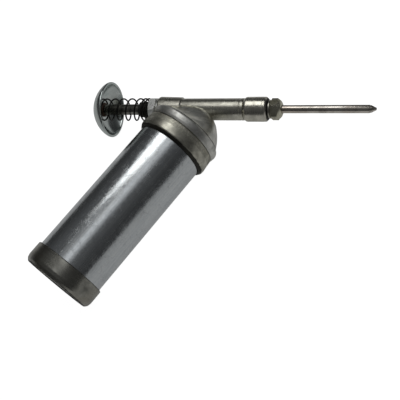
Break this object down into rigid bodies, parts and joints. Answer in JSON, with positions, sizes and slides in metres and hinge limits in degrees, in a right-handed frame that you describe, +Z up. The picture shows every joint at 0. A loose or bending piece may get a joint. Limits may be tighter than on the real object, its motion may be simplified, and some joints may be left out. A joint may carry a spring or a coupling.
{
  "type": "grease gun",
  "caption": "Push-type grease gun: palm-knob plunger pump with return spring and pointed nozzle, on a domed head with a slanted steel canister and sprung follower.",
  "frame": {"origin": "centre of the bounding box's lower side, the gun lying on its side on a table", "axes": "+X along the pump barrel towards the nozzle, which is the longest extent; +Z up, normal to the plane that holds the pump axis and the canister axis, the shortest extent; the canister leaves the barrel in the XY plane towards -X and -Y, 62 degrees from it"},
  "size_m": [0.2188, 0.175, 0.0554],
  "materials": {
    "knob_chrome": "bright zinc-chrome plate, smeared and lightly scuffed",
    "collar_steel": "dull brown oxidised steel",
    "rod_steel": "ground steel with a grease film",
    "spring_black": "black oiled spring wire",
    "gland_zinc": "bright zinc plate",
    "barrel_steel": "satin turned steel",
    "housing_steel": "satin turned steel",
    "seat_brass": "turned brass",
    "ball_steel": "polished steel ball",
    "nozzle_nut_zinc": "dull olive zinc plate",
    "nozzle_steel": "satin drawn steel",
    "head_cast": "satin grey casting",
    "ring_cast": "satin warm grey casting",
    "tube_chrome": "polished drawn steel tube",
    "cap_steel": "satin warm grey, turned",
    "rubber_black": "oil-resistant rubber",
    "bare_steel": "bare pressed steel"
  },
  "bodies": {
    "gun_body": {"gland_nut": "gland_zinc", "gland_washer": "bare_steel", "gland_packing": "rubber_black", "pump_barrel": "barrel_steel", "valve_housing": "housing_steel", "valve_seat": "seat_brass", "check_spring": "bare_steel", "nozzle_nut": "nozzle_nut_zinc", "nozzle_tube": "nozzle_steel", "nozzle_tip": "nozzle_steel", "canister_head": "head_cast", "screw_ring": "ring_cast", "head_gasket": "rubber_black", "canister_tube": "tube_chrome", "end_cap": "cap_steel", "cap_gasket": "rubber_black", "return_spring": "spring_black", "follower_spring": "bare_steel"},
    "plunger": {"palm_knob": "knob_chrome", "knob_collar": "collar_steel", "plunger_rod": "rod_steel"},
    "follower": {"follower_front_plate": "bare_steel", "follower_seal": "rubber_black", "follower_back_plate": "bare_steel", "follower_rivet": "bare_steel"},
    "ball": {"check_ball": "ball_steel"}
  },
  "joints": [
    {"name": "plunger_slide", "type": "slide", "parent": "gun_body", "child": "plunger", "axis": [1, 0, 0], "range_m": [0, 0.02], "stiffness_N_per_m": 600, "springref_m": -0.01, "deforming": ["return_spring"]},
    {"name": "follower_slide", "type": "slide", "parent": "gun_body", "child": "follower", "axis": [-0.4695, -0.8829, 0], "range_m": [0, 0.085], "stiffness_N_per_m": 120, "springref_m": -0.03, "deforming": ["follower_spring"]},
    {"name": "check_ball_slide", "type": "slide", "parent": "gun_body", "child": "ball", "axis": [1, 0, 0], "range_m": [0, 0.0015], "stiffness_N_per_m": 200, "springref_m": -0.002, "deforming": ["check_spring"]}
  ]
}
